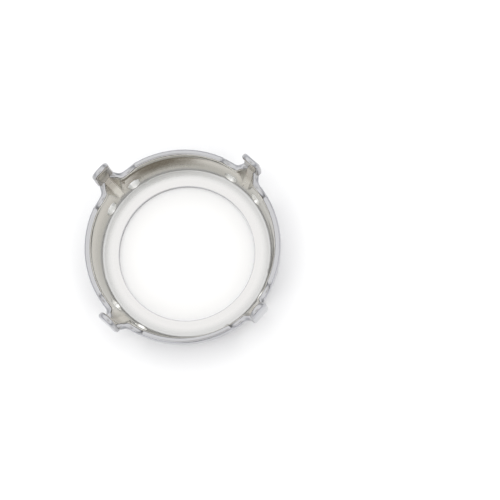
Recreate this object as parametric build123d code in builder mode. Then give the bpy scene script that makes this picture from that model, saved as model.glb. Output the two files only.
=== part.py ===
from build123d import *
import os
from math import asin, degrees, radians, sqrt, tan

# Sew-on setting: a cup pressed from one piece of sheet for a round stone with a
# pointed back. The wall is round, the back is an open ring, four prongs rise
# from the wall and eight thread holes go through it near the back.
# Sizes are in mm. The origin is the middle of the back ring's lower face, +Z
# runs up the cup's axis to the prong tips, and the prongs stand on the diagonals.

# Stone and sheet
stone_d = 12.0        # the stone across its girdle
seat_gap = 0.06       # play between girdle and wall, each side
gauge = 0.40          # thickness of the sheet
rim_soft = 0.16       # rounding of the rim's, the notches' and the prongs' edges

# Cup
cup_h = 3.25          # back face to rim
back_hole_d = 9.0     # opening in the back
corner_in_r = 0.20    # bend between wall and back ring, inner face

# Prongs
prong_w = 1.34        # width of the free strip
prong_rise = 2.46     # tip above the rim
prong_stand = 0.74    # outer face of the strip beyond the rim's outside
bend_lift = 1.03      # start of the root's bend above the rim
root_run = 1.20       # how far the strip runs down the fold below the rim
root_w = 0.60         # width of the strip where it runs out
curl_r = 3.90         # radius of the tip's inward curl, outer face
curl_h = 0.85         # length of the tip that curls
notch_r = 0.80        # radius of the relief notch beside each prong
notch_deep = 0.32     # its depth below the rim
notch_run = 0.20      # run-out of the notch into the rim

# Folds of the wall that the prongs stand on
crest_w = 0.84        # width of the crest
crest_r = 0.29        # rounding of the crest, outer face
crest_sink = 0.03     # step from the strip's face down to the crest
groove_r = 0.18       # rounding of the groove behind it
flank_lean = 39.0     # lean of the flanks from the radial direction, degrees
foot_r = 0.60         # run-out of the fold into the wall, outside
groove_foot_r = 0.35  # the same inside

# Thread holes, one pair in each wall section, each hole square to the wall
thread_d = 0.92       # hole for needle and thread
thread_z = 0.96       # hole centre above the back face
thread_spread = 68.0  # angle between the two holes of a pair, degrees

# The wall's outline: radius as a share of the rim radius, height above the back
# and radius of the soft bend there as shares of the cup's height
#                  radius  height  bend
BACK_EDGE_SHARE = (0.907, 0.000, 0.000)
SHOULDER_SHARE = (0.951, 0.240, 1.200)
WALL_TOP_SHARE = (1.000, 0.760, 0.770)
FOLD_START_SHARE = 0.125    # height where the folds come out of the wall
RUN_ON_DEGREES = 1.5        # how far the arcs run on past what they have to reach

rim_r = stone_d / 2 + seat_gap + gauge
back_edge = (BACK_EDGE_SHARE[0] * rim_r, BACK_EDGE_SHARE[1] * cup_h)
shoulder = (SHOULDER_SHARE[0] * rim_r, SHOULDER_SHARE[1] * cup_h)
wall_top = (WALL_TOP_SHARE[0] * rim_r, WALL_TOP_SHARE[1] * cup_h)
shoulder_r = SHOULDER_SHARE[2] * cup_h
wall_top_r = WALL_TOP_SHARE[2] * cup_h
top_z = cup_h + 2 * gauge

# The prong's outer face bends in from bend_z until it meets the shoulder
prong_r = rim_r + prong_stand
crest_x = prong_r - crest_sink
tip_z = cup_h + prong_rise
bend_z = cup_h + bend_lift
fold_z = FOLD_START_SHARE * cup_h
fold_r = back_edge[0] + (shoulder[0] - back_edge[0]) * fold_z / shoulder[1]
bend_h = bend_z - fold_z
bend_in = crest_x - fold_r
bend_r = (bend_h**2 + bend_in**2) / (2 * bend_in)
bend_arc = degrees(asin(bend_h / bend_r)) + RUN_ON_DEGREES
bend_axis = Axis((crest_x - bend_r, 0, bend_z), (0, 1, 0))
fold_deep = crest_x - rim_r + 3.5 * gauge
foot_half = crest_w / 2 + fold_deep * tan(radians(flank_lean))
strip_bend_r = 0.95 * bend_r
notch_side = prong_w / 2 + sqrt(notch_r**2 - (notch_r - notch_deep) ** 2) - 0.1 * gauge
notch_z = cup_h - notch_deep + notch_r
curl_arc = degrees(asin(curl_h / (curl_r - gauge))) + RUN_ON_DEGREES

# Outline of the cup's outside, from the axis to above the rim
with BuildLine() as wall_line:
    Polyline((0, 0), back_edge, shoulder, wall_top, (rim_r, top_z))
    fillet(wall_line.vertices().sort_by_distance(Vector(*back_edge))[0], corner_in_r + gauge)
    fillet(wall_line.vertices().sort_by_distance(Vector(*shoulder))[0], shoulder_r)
    fillet(wall_line.vertices().sort_by_distance(Vector(*wall_top))[0], wall_top_r)

# One fold's outer form: a ridge with a narrow crest and leaning flanks, swung
# down and inward around the prong's bend and cut level with the rim
with BuildPart() as fold:
    with BuildSketch(Plane.XY.offset(bend_z)) as fold_section:
        with BuildLine():
            Polyline(
                (crest_x, -crest_w / 2), (crest_x, crest_w / 2),
                (crest_x - fold_deep, foot_half), (crest_x - fold_deep, -foot_half), close=True,
            )
        make_face()
        fillet(fold_section.vertices().group_by(Axis.X)[-1], crest_r)
    revolve(axis=bend_axis, revolution_arc=bend_arc)
    split(bisect_by=Plane.XY.offset(cup_h), keep=Keep.BOTTOM)

# The groove behind it: the same ridge, one sheet thickness further in
with BuildPart() as groove:
    with BuildSketch(Plane.XY.offset(bend_z)) as groove_section:
        add(fold_section.face())
        offset(amount=-gauge)
        fillet(groove_section.vertices().group_by(Axis.X)[-1], groove_r)
    revolve(axis=bend_axis, revolution_arc=bend_arc)
    split(bisect_by=Plane.XY.offset(cup_h + gauge), keep=Keep.BOTTOM)

# Outside of the cup as a solid, its four folds run out softly into the wall
with BuildPart() as outside:
    with BuildSketch(Plane.XZ):
        with BuildLine():
            add(wall_line.line)
            Polyline((0, 0), (0, top_z), (rim_r, top_z))
        make_face()
    revolve(axis=Axis.Z)
    split(bisect_by=Plane.XY.offset(cup_h), keep=Keep.BOTTOM)
    with PolarLocations(0, 4, start_angle=45):
        add(fold.part)
    feet = outside.edges().filter_by(GeomType.BSPLINE)
    fillet(feet.filter_by_position(Axis.Z, 0, cup_h - 0.01), foot_r)

# Hollow of the cup: the same outline one sheet thickness in, with its grooves
with BuildPart() as hollow:
    with BuildSketch(Plane.XZ):
        with BuildLine():
            add(wall_line.line)
            Polyline((0, 0), (-rim_r, 0), (-rim_r, top_z), (rim_r, top_z))
        make_face()
        offset(amount=-gauge)
        split(bisect_by=Plane.YZ, keep=Keep.TOP)
    revolve(axis=Axis.Z)
    with PolarLocations(0, 4, start_angle=45):
        add(groove.part)
    feet = hollow.edges().filter_by(GeomType.BSPLINE)
    fillet(feet.filter_by_position(Axis.Z, 0, top_z - gauge - 0.01), groove_foot_r)

# One prong: a strip of the same sheet that follows the bend, curls in slightly
# at its round tip, and narrows below the rim to run out on the fold's crest
with BuildPart() as prong:
    with BuildSketch(Plane.XZ):
        with BuildLine():
            JernArc((prong_r, bend_z), (0, -1), strip_bend_r, -bend_arc)
            leg = Line((prong_r, bend_z), (prong_r, tip_z - curl_h))
            JernArc(leg @ 1, (0, 1), curl_r, curl_arc)
            offset(amount=gauge, side=Side.RIGHT)
        make_face()
    extrude(amount=prong_w, both=True)
    with BuildSketch(Plane.YZ):
        with BuildLine():
            sides = Polyline(
                (-prong_w / 2, tip_z - prong_w / 2), (-prong_w / 2, cup_h),
                (-root_w / 2, cup_h - root_run), (root_w / 2, cup_h - root_run),
                (prong_w / 2, cup_h), (prong_w / 2, tip_z - prong_w / 2),
            )
            RadiusArc(sides @ 0, sides @ 1, prong_w / 2)
        make_face()
    extrude(amount=2 * prong_r, mode=Mode.INTERSECT)
    fillet(prong.edges(), rim_soft)

# The relief notches beside a prong: round dips that run softly into the rim
with BuildPart() as notches:
    with BuildSketch(Plane.YZ.offset(rim_r - 2 * gauge)) as dips:
        with Locations((notch_side, notch_z), (-notch_side, notch_z)):
            Circle(notch_r)
        with Locations((0, cup_h + notch_r)):
            Rectangle(2 * notch_side + 4 * notch_r, 2 * notch_r)
        level = dips.vertices().filter_by_position(Axis.Y, cup_h - 0.001, cup_h + 0.001)
        fillet(level.sort_by_distance((0, cup_h))[:4], notch_run)
    extrude(amount=4 * gauge)

# The whole setting: the cup with its notches and a rounded rim, the prongs, and
# the thread holes
with BuildPart() as setting:
    add(outside.part)
    add(hollow.part, mode=Mode.SUBTRACT)
    Cylinder(back_hole_d / 2, 4 * gauge, mode=Mode.SUBTRACT)
    with PolarLocations(0, 4, start_angle=45):
        add(notches.part, mode=Mode.SUBTRACT)
    rim_edges = setting.edges().filter_by_position(Axis.Z, cup_h - notch_deep - 0.001, cup_h + 0.001)
    fillet(rim_edges.filter_by(GeomType.LINE, reverse=True), rim_soft)
    with PolarLocations(0, 4, start_angle=45):
        add(prong.part)
    for turn in (-thread_spread / 2, thread_spread / 2):
        with Locations((0, 0, thread_z)), PolarLocations(rim_r, 4, start_angle=turn):
            Cylinder(thread_d / 2, 6 * gauge, rotation=(0, 90, 0), mode=Mode.SUBTRACT)

os.makedirs("parts", exist_ok=True)
setting.part.label = "setting"
export_step(setting.part, "parts/setting.step")
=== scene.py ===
"""Looks of the sew-on setting: a bright silver-plated brass cup on a pale studio floor."""

import math

import bpy
from mathutils import Matrix, Vector


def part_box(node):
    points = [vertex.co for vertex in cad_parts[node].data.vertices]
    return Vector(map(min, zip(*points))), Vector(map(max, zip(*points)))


bl_info = {
    "name": "Sew-on Setting",
    "version": (1, 0, 0),
    "blender": (4, 5, 0),
    "location": "View3D > Sidebar > Setting",
    "description": "Plates the pressed cup and stands it on a pale studio floor",
    "category": "Object",
}

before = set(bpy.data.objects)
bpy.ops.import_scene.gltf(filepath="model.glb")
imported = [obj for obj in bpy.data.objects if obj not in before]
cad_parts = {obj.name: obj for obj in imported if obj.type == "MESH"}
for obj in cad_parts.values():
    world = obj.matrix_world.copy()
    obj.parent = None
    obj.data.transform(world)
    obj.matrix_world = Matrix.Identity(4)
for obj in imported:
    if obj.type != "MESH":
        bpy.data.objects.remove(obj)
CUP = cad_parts["setting"]
CUP_LOW, CUP_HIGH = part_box("setting")
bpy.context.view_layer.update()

MM = 0.001

# The photograph: its side, the middle of the rim and the rim's radius, all in pixels
PHOTO_SIDE = 500
RIM_MIDDLE = (182.1, 245.9)
RIM_RADIUS = 98.7
RIM_HEIGHT = 3.25 * MM

# The camera: its sensor's width in mm, and how near and how far it sees in m
SENSOR_WIDTH = 36
CLIP_START = 0.01
CLIP_END = 10

# Where each look of the plate lies. A pair says where it starts to show and where it is full. A facing is 1
# straight away from the cup's axis, 0 square to that and -1 straight at the axis
INSIDE_FACING = (0.25, -0.35)
OUTSIDE_FACING = (0.20, 0.60)
# These two are taken without the sign
SHEARED_FACING = (0.85, 0.45)
HOLE_FACING = (0.35, 0.15)
GROOVE_RADIUS = (6.11 * MM, 6.41 * MM)
SHEARED_HEIGHT = (2.60 * MM, 2.90 * MM)
PUNCHED_RADIUS = (4.55 * MM, 4.51 * MM)
SHADED_BEND_REACH = (0.60 * MM, 0.05 * MM)

# Radius and height of the inner bend between wall and back ring, from which the reach of the painted shade in the
# bend is measured
BEND_LINE = (5.50 * MM, 0.0, 0.42 * MM)

# Middle of the thread holes above the back face, and how far their walls reach from it
THREAD_HEIGHT = 0.96 * MM
THREAD_REACH = 0.48 * MM

# Pressing wave and tumbling marks: distance from crest to crest, height, and layers of noise
WAVE = (1.6 * MM, 0.010 * MM, 1.0)
MARKS = (0.12 * MM, 0.0012 * MM, 3.0)

# The marks' noise keeps to this range, and over it the roughness goes from 0.6 to 1.6 of its own value
MARKS_RANGE = (0.3, 0.7)
MARKS_ROUGHNESS = (0.6, 1.6)

CARD_ROUGHNESS = 0.9

# The light tent's brightness by the height of a direction, 0 straight down, 1 straight up. Its sides show
# below the first of these heights and fully below the second
SIDES_HEIGHT = (0.76, 0.60)
TENT_HEIGHT = (
    (0.00, "#FFFFFF"),
    (0.47, "#E8E8EA"),
    (0.50, "#85878D"),
    (0.57, "#A6A8AE"),
    (0.65, "#E6E7EA"),
    (0.72, "#FFFFFF"),
)

# Its sides once round, from -X through -Y, +X and +Y: white panels, grey cloth and black strips
TENT_ROUND = (
    (0.00, "#B8BAC2"),
    (0.07, "#B8BAC2"),
    (0.10, "#FFFFFF"),
    (0.22, "#FFFFFF"),
    (0.235, "#1A1A20"),
    (0.265, "#1A1A20"),
    (0.28, "#8E908E"),
    (0.42, "#B8BAC2"),
    (0.45, "#FFFFFF"),
    (0.58, "#FFFFFF"),
    (0.595, "#1A1A20"),
    (0.62, "#1A1A20"),
    (0.635, "#8E908E"),
    (0.76, "#B8BAC2"),
    (0.79, "#FFFFFF"),
    (0.90, "#FFFFFF"),
    (0.93, "#B8BAC2"),
)

# The shade over the cup and the lens in it, as soft ovals round the line of sight: middle to the right and
# upwards, half width and half height, all as shares of the distance. Both fade over the same part of their radius
SHADE_OVAL = (-0.03, -0.19, 0.34, 0.30)
LENS_OVAL = (0.00, 0.00, 0.16, 0.13)
OVAL_DEPTH = 9.0
OVAL_FADE = (0.0, 0.28)


def linear(hex_colour):
    """An sRGB hex colour as linear red, green, blue and alpha."""
    channels = [int(hex_colour[i : i + 2], 16) / 255 for i in (1, 3, 5)]
    return [c / 12.92 if c <= 0.04045 else ((c + 0.055) / 1.055) ** 2.4 for c in channels] + [1.0]


def add_node(tree, kind, settings=(), values=(), links=(), stops=()):
    """Adds a node with its settings, socket values, links into it and, on a ramp, its stops."""
    node = tree.nodes.new(kind)
    for name, value in dict(settings).items():
        setattr(node, name, value)
    for socket, value in dict(values).items():
        node.inputs[socket].default_value = value
    for socket, source in dict(links).items():
        tree.links.new(source, node.inputs[socket])
    if stops:
        elements = node.color_ramp.elements
        elements.remove(elements[1])
        elements[0].position = stops[0][0]
        elements[0].color = linear(stops[0][1])
        for place, colour in stops[1:]:
            elements.new(place).color = linear(colour)
    return node


def fade(tree, value, ends, interpolation="SMOOTHSTEP"):
    """A share that goes from 0 at the first end of a value's range to 1 at the second."""
    node = add_node(tree, "ShaderNodeMapRange", {"interpolation_type": interpolation},
                    {"From Min": ends[0], "From Max": ends[1]}, {"Value": value})
    return node.outputs["Result"]


def math_node(tree, operation, *sources):
    """The result of one operation on the sources."""
    return add_node(tree, "ShaderNodeMath", {"operation": operation}, links=dict(enumerate(sources))).outputs[0]


def mix(tree, share, first, second, kind="RGBA"):
    """Goes from the first to the second by the share. Each of the two is a socket or a constant."""
    slots = (6, 7) if kind == "RGBA" else (2, 3)
    ends = dict(zip(slots, (first, second)))
    links = {slot: end for slot, end in ends.items() if isinstance(end, bpy.types.NodeSocket)}
    values = {slot: end for slot, end in ends.items() if slot not in links}
    node = add_node(tree, "ShaderNodeMix", {"data_type": kind}, values, {0: share, **links})
    return node.outputs[2 if kind == "RGBA" else 0]


def rough(tree, place, look, normal=None):
    """Noise with a look's size and layers, and the normal that it bends by the look's height."""
    size, height, layers = look
    noise = add_node(tree, "ShaderNodeTexNoise", {}, {"Scale": 1 / size, "Detail": layers}, {"Vector": place})
    below = {"Normal": normal} if normal else {}
    bump = add_node(tree, "ShaderNodeBump", {}, {"Strength": 1.0, "Distance": height},
                    {"Height": noise.outputs["Fac"], **below})
    return noise.outputs["Fac"], bump.outputs["Normal"]


def new_material(name):
    """A node material with an empty tree, and that tree."""
    material = bpy.data.materials.new(name)
    material.use_nodes = True
    material.node_tree.nodes.clear()
    return material, material.node_tree


def sight(stage):
    """The photograph's view: its right, its up and the way back to the lens, in the cup's own axes."""
    tilt, lean, turn = stage.camera_tilt, stage.camera_lean, stage.camera_turn
    axis = Vector((-math.sin(tilt) * math.cos(lean), -math.sin(tilt) * math.sin(lean), math.cos(tilt)))
    side = Vector((math.cos(turn), math.sin(turn), 0))
    side.z = -(side.x * axis.x + side.y * axis.y) / axis.z
    side.normalize()
    seen = Matrix((side, axis.cross(side), axis)).transposed()
    return [row.copy() for row in seen]


class PlateSettings(bpy.types.PropertyGroup):
    """Colours and finish of the silver plate."""

    silver: bpy.props.FloatVectorProperty(
        name="Silver", description="Colour of the plate where nothing rubs or tarnishes it",
        default=linear("#C3C3C6"), size=4, min=0.0, max=1.0, subtype="COLOR",
    )
    # Painted shade: the outward faces are drawn greyer so that their reflections darken
    outside_shade: bpy.props.FloatVectorProperty(
        name="Outside shade", description="Colour of the plate on the outside, which rubs on other cups",
        default=linear("#B2B2B6"), size=4, min=0.0, max=1.0, subtype="COLOR",
    )
    silver_inside: bpy.props.FloatVectorProperty(
        name="Silver inside", description="Colour of the thinner plate inside the cup",
        default=linear("#CFCCC4"), size=4, min=0.0, max=1.0, subtype="COLOR",
    )
    # Painted shade: the grooves and the prongs' inner faces are drawn darker and warmer
    groove_shade: bpy.props.FloatVectorProperty(
        name="Groove", description="Colour of the plate in the grooves and on the prongs' inner faces",
        default=linear("#B6B1A8"), size=4, min=0.0, max=1.0, subtype="COLOR",
    )
    # Painted shade in the inner bend between wall and back ring
    shaded_bend: bpy.props.FloatVectorProperty(
        name="Shaded bend", description="Colour of the plate in the inner bend",
        default=linear("#BBBBBA"), size=4, min=0.0, max=1.0, subtype="COLOR",
    )
    # Duller sheared metal and painted shade: drawn darker so that the rim's highlight dims and the punched edge
    # shows dark
    sheared_and_shaded: bpy.props.FloatVectorProperty(
        name="Sheared edge", description="Colour of the sheet's sheared edges",
        default=linear("#AEAEB0"), size=4, min=0.0, max=1.0, subtype="COLOR",
    )
    # Painted highlight: the walls of the thread holes are drawn near white
    hole_highlight: bpy.props.FloatVectorProperty(
        name="Hole wall", description="Colour of the walls of the thread holes",
        default=linear("#F2F2F0"), size=4, min=0.0, max=1.0, subtype="COLOR",
    )
    edge_roughness: bpy.props.FloatProperty(
        name="Edge roughness", description="Roughness of the sheet's sheared edges",
        default=0.30, min=0.0, max=1.0, subtype="FACTOR",
    )
    bend_roughness: bpy.props.FloatProperty(
        name="Bend roughness", description="Roughness in the inner bend, which tumbling media don't reach",
        default=0.32, min=0.0, max=1.0, subtype="FACTOR",
    )
    roughness: bpy.props.FloatProperty(
        name="Roughness", description="Polish of the plate", default=0.07, min=0.0, max=1.0, subtype="FACTOR"
    )


class StageSettings(bpy.types.PropertyGroup):
    """Floor, light and camera."""

    floor_colour: bpy.props.FloatVectorProperty(
        name="Floor", description="Colour of the floor",
        default=linear("#FAFAFA"), size=4, min=0.0, max=1.0, subtype="COLOR",
    )
    floor_side: bpy.props.FloatProperty(
        name="Floor side", description="Side of the square floor", default=1.6, unit="LENGTH", subtype="DISTANCE"
    )
    light_strength: bpy.props.FloatProperty(
        name="Light", description="Strength of the tent's light", default=1.50, min=0.0
    )
    shade: bpy.props.FloatVectorProperty(
        name="Shade", description="Colour of the shade in the tent round the lens",
        default=linear("#8C867C"), size=4, min=0.0, max=1.0, subtype="COLOR",
    )
    lens: bpy.props.FloatVectorProperty(
        name="Lens", description="Colour of the lens as the cup reflects it",
        default=linear("#605F5D"), size=4, min=0.0, max=1.0, subtype="COLOR",
    )
    camera_tilt: bpy.props.FloatProperty(
        name="Tilt", description="Angle between the camera's line and the cup's axis",
        default=math.radians(12.0), subtype="ANGLE", unit="ROTATION",
    )
    camera_lean: bpy.props.FloatProperty(
        name="Lean", description="Side of the picture that the camera is tilted towards, from its right side",
        default=math.radians(-58.3), subtype="ANGLE", unit="ROTATION",
    )
    camera_turn: bpy.props.FloatProperty(
        name="Turn", description="Turn of the cup's X axis in the picture",
        default=math.radians(3.8), subtype="ANGLE", unit="ROTATION",
    )
    camera_reach: bpy.props.FloatProperty(
        name="Reach", description="Camera's distance from the middle of the rim",
        default=0.390, unit="LENGTH", subtype="DISTANCE",
    )


class SETTING_OT_plate(bpy.types.Operator):
    """Gives the pressed cup its bright silver plate."""

    bl_idname = "setting.plate"
    bl_label = "Plate the Cup"

    def execute(self, context):
        finish = context.scene.setting_plate
        # Brass sheet, barrel-polished and silver-plated: mirror-bright, with a soft pressing wave that bends
        # reflections and fine tumbling marks that fray their edges
        material, tree = new_material("barrel_polished_silver_plate")
        place = add_node(tree, "ShaderNodeTexCoord").outputs["Object"]
        spot = add_node(tree, "ShaderNodeSeparateXYZ", links={0: place})
        outward = add_node(tree, "ShaderNodeCombineXYZ", links={0: spot.outputs["X"], 1: spot.outputs["Y"]})
        radial = add_node(tree, "ShaderNodeVectorMath", {"operation": "NORMALIZE"}, links={0: outward.outputs[0]})
        reach = add_node(tree, "ShaderNodeVectorMath", {"operation": "LENGTH"}, links={0: outward.outputs[0]})
        shape = add_node(tree, "ShaderNodeNewGeometry")
        outness = add_node(tree, "ShaderNodeVectorMath", {"operation": "DOT_PRODUCT"},
                           links={0: shape.outputs["Normal"], 1: radial.outputs[0]})
        radius, facing, height = reach.outputs["Value"], outness.outputs["Value"], spot.outputs["Z"]
        # A warmer cast inside, where the plate is thin, and painted shade in the grooves and up the prongs' inner
        # faces
        within = mix(tree, fade(tree, radius, GROOVE_RADIUS), finish.silver_inside, finish.groove_shade)
        # The outside is a shade greyer: painted shade that darkens the reflections on its outward faces
        outer = mix(tree, fade(tree, facing, OUTSIDE_FACING), finish.silver, finish.outside_shade)
        plate = mix(tree, fade(tree, facing, INSIDE_FACING), outer, within)
        # Painted shade darkens the bend between wall and back ring and fades out halfway across the ring
        bend = add_node(tree, "ShaderNodeCombineXYZ", links={0: radius, 2: height})
        away = add_node(tree, "ShaderNodeVectorMath", {"operation": "DISTANCE"}, {1: BEND_LINE},
                        {0: bend.outputs[0]})
        shaded_bend = fade(tree, away.outputs["Value"], SHADED_BEND_REACH)
        with_bend_shade = mix(tree, shaded_bend, plate, finish.shaded_bend)
        # The sheet's sheared edges stay satin and are drawn darker, part duller metal and part painted shade: the
        # rim and the prongs' sides, which face neither out nor in, and the punched edge of the back opening
        sideways = math_node(tree, "ABSOLUTE", facing)
        upper = math_node(tree, "MULTIPLY", fade(tree, sideways, SHEARED_FACING), fade(tree, height, SHEARED_HEIGHT))
        cut = math_node(tree, "MAXIMUM", upper, fade(tree, radius, PUNCHED_RADIUS, "LINEAR"))
        edged = mix(tree, cut, with_bend_shade, finish.sheared_and_shaded)
        # A painted highlight makes the walls of the punched thread holes the brightest colour on the cup: they run
        # square to the wall, above the bend
        above_bend = add_node(tree, "ShaderNodeMath", {"operation": "COMPARE"}, {1: THREAD_HEIGHT, 2: THREAD_REACH},
                              {0: height})
        holes = math_node(tree, "MULTIPLY", fade(tree, sideways, HOLE_FACING, "LINEAR"), above_bend.outputs[0])
        colour = mix(tree, holes, edged, finish.hole_highlight)
        # Really some 0.02 mm apart, the tumbling marks are drawn coarser so that they show
        _, waved = rough(tree, place, WAVE)
        marks, marked = rough(tree, place, MARKS, waved)
        polish = add_node(tree, "ShaderNodeMapRange", {},
                          {"From Min": MARKS_RANGE[0], "From Max": MARKS_RANGE[1],
                           "To Min": MARKS_ROUGHNESS[0] * finish.roughness,
                           "To Max": MARKS_ROUGHNESS[1] * finish.roughness}, {"Value": marks})
        corner = mix(tree, shaded_bend, polish.outputs["Result"], finish.bend_roughness, "FLOAT")
        gloss = mix(tree, math_node(tree, "MAXIMUM", cut, holes), corner, finish.edge_roughness, "FLOAT")
        shader = add_node(tree, "ShaderNodeBsdfPrincipled", {}, {"Metallic": 1.0},
                          {"Base Color": colour, "Roughness": gloss, "Normal": marked})
        add_node(tree, "ShaderNodeOutputMaterial", links={"Surface": shader.outputs["BSDF"]})
        CUP.data.materials.clear()
        CUP.data.materials.append(material)
        return {"FINISHED"}


class SETTING_OT_stage(bpy.types.Operator):
    """Lays the pale floor, sets the studio light and places the camera."""

    bl_idname = "setting.stage"
    bl_label = "Set the Stage"

    def execute(self, context):
        stage = context.scene.setting_stage
        self.lay_floor(context, stage)
        self.light(context, stage)
        self.aim_camera(context, stage)
        return {"FINISHED"}

    def lay_floor(self, context, stage):
        """A sheet of pale matt card under the cup."""
        bpy.ops.object.select_all(action="DESELECT")
        bpy.ops.mesh.primitive_plane_add(size=stage.floor_side, location=(0, 0, CUP_LOW.z))
        floor = context.object
        floor.name = "studio_floor"
        bpy.ops.object.transform_apply(location=True, rotation=True, scale=True)
        # Matt paper card: no gloss that would mirror the cup
        material, tree = new_material("matt_paper_card")
        shader = add_node(tree, "ShaderNodeBsdfPrincipled", {},
                          {"Base Color": stage.floor_colour, "Roughness": CARD_ROUGHNESS})
        add_node(tree, "ShaderNodeOutputMaterial", links={"Surface": shader.outputs["BSDF"]})
        floor.data.materials.append(material)

    def light(self, context, stage):
        """A light tent: white overhead, panels and strips round the sides, and the opening for the lens."""
        right, above, back = sight(stage)
        world = bpy.data.worlds.new("light_tent")
        context.scene.world = world
        world.use_nodes = True
        tree = world.node_tree
        tree.nodes.clear()
        way = add_node(tree, "ShaderNodeTexCoord")
        split = add_node(tree, "ShaderNodeSeparateXYZ", links={0: way.outputs["Generated"]})
        rise = add_node(tree, "ShaderNodeMath", {"operation": "MULTIPLY_ADD"}, {1: 0.5, 2: 0.5},
                        {0: split.outputs["Z"]})
        height = add_node(tree, "ShaderNodeValToRGB", links={0: rise.outputs[0]}, stops=TENT_HEIGHT)
        angle = add_node(tree, "ShaderNodeMath", {"operation": "ARCTAN2"},
                         links={0: split.outputs["Y"], 1: split.outputs["X"]})
        turn = add_node(tree, "ShaderNodeMath", {"operation": "MULTIPLY_ADD"}, {1: 0.5 / math.pi, 2: 0.5},
                        {0: angle.outputs[0]})
        sides = add_node(tree, "ShaderNodeValToRGB", links={0: turn.outputs[0]}, stops=TENT_ROUND)
        cloth = add_node(tree, "ShaderNodeMix", {"data_type": "RGBA", "blend_type": "MULTIPLY"}, {},
                         {0: fade(tree, rise.outputs[0], SIDES_HEIGHT), 6: height.outputs["Color"],
                          7: sides.outputs["Color"]})
        turned = Matrix((right, above, back)).transposed().to_euler()
        seen = cloth.outputs[2]
        for (across, up, half_width, half_height), colour in ((SHADE_OVAL, stage.shade), (LENS_OVAL, stage.lens)):
            middle = (back + across * right + up * above).normalized()
            oval = add_node(tree, "ShaderNodeMapping", {"vector_type": "TEXTURE"},
                            {"Location": middle, "Rotation": turned, "Scale": (half_width, half_height, OVAL_DEPTH)},
                            {"Vector": way.outputs["Generated"]})
            patch = add_node(tree, "ShaderNodeTexGradient", {"gradient_type": "SPHERICAL"},
                             links={"Vector": oval.outputs["Vector"]})
            seen = mix(tree, fade(tree, patch.outputs["Fac"], OVAL_FADE), seen, colour)
        sky = add_node(tree, "ShaderNodeBackground", {}, {"Strength": stage.light_strength}, {"Color": seen})
        add_node(tree, "ShaderNodeOutputWorld", links={"Surface": sky.outputs["Background"]})
        context.scene.view_settings.view_transform = "Standard"

    def aim_camera(self, context, stage):
        """Puts the camera on the photograph's line of sight to the middle of the rim."""
        right, above, back = sight(stage)
        target = Vector((0, 0, RIM_HEIGHT))
        per_pixel = CUP_HIGH.x / RIM_RADIUS
        place = target + back * stage.camera_reach
        centre = target + right * (PHOTO_SIDE / 2 - RIM_MIDDLE[0]) * per_pixel
        centre += above * (RIM_MIDDLE[1] - PHOTO_SIDE / 2) * per_pixel
        look = (centre - place).normalized()
        side = look.cross(above).normalized()
        turned = Matrix((side, side.cross(look), -look)).transposed()
        bpy.ops.object.camera_add(location=place, rotation=turned.to_euler())
        camera = context.object
        camera.name = "photo_camera"
        camera.data.sensor_width = SENSOR_WIDTH
        camera.data.lens = SENSOR_WIDTH * stage.camera_reach / (PHOTO_SIDE * per_pixel)
        camera.data.clip_start = CLIP_START
        camera.data.clip_end = CLIP_END
        context.scene.camera = camera


class SETTING_PT_panel(bpy.types.Panel):
    """Lists the steps that dress the setting."""

    bl_label = "Sew-on Setting"
    bl_idname = "SETTING_PT_panel"
    bl_space_type = "VIEW_3D"
    bl_region_type = "UI"
    bl_category = "Setting"

    def draw(self, context):
        for operator in OPERATORS:
            self.layout.operator(operator.bl_idname)
        for group in (context.scene.setting_plate, context.scene.setting_stage):
            for name in group.__annotations__:
                self.layout.prop(group, name)


OPERATORS = (SETTING_OT_plate, SETTING_OT_stage)
CLASSES = (PlateSettings, StageSettings, *OPERATORS, SETTING_PT_panel)


def register():
    for cls in CLASSES:
        bpy.utils.register_class(cls)
    bpy.types.Scene.setting_plate = bpy.props.PointerProperty(type=PlateSettings)
    bpy.types.Scene.setting_stage = bpy.props.PointerProperty(type=StageSettings)


def unregister():
    del bpy.types.Scene.setting_stage
    del bpy.types.Scene.setting_plate
    for cls in reversed(CLASSES):
        bpy.utils.unregister_class(cls)


def main():
    register()
    bpy.ops.setting.plate()
    bpy.ops.setting.stage()


if __name__ == "__main__":
    main()
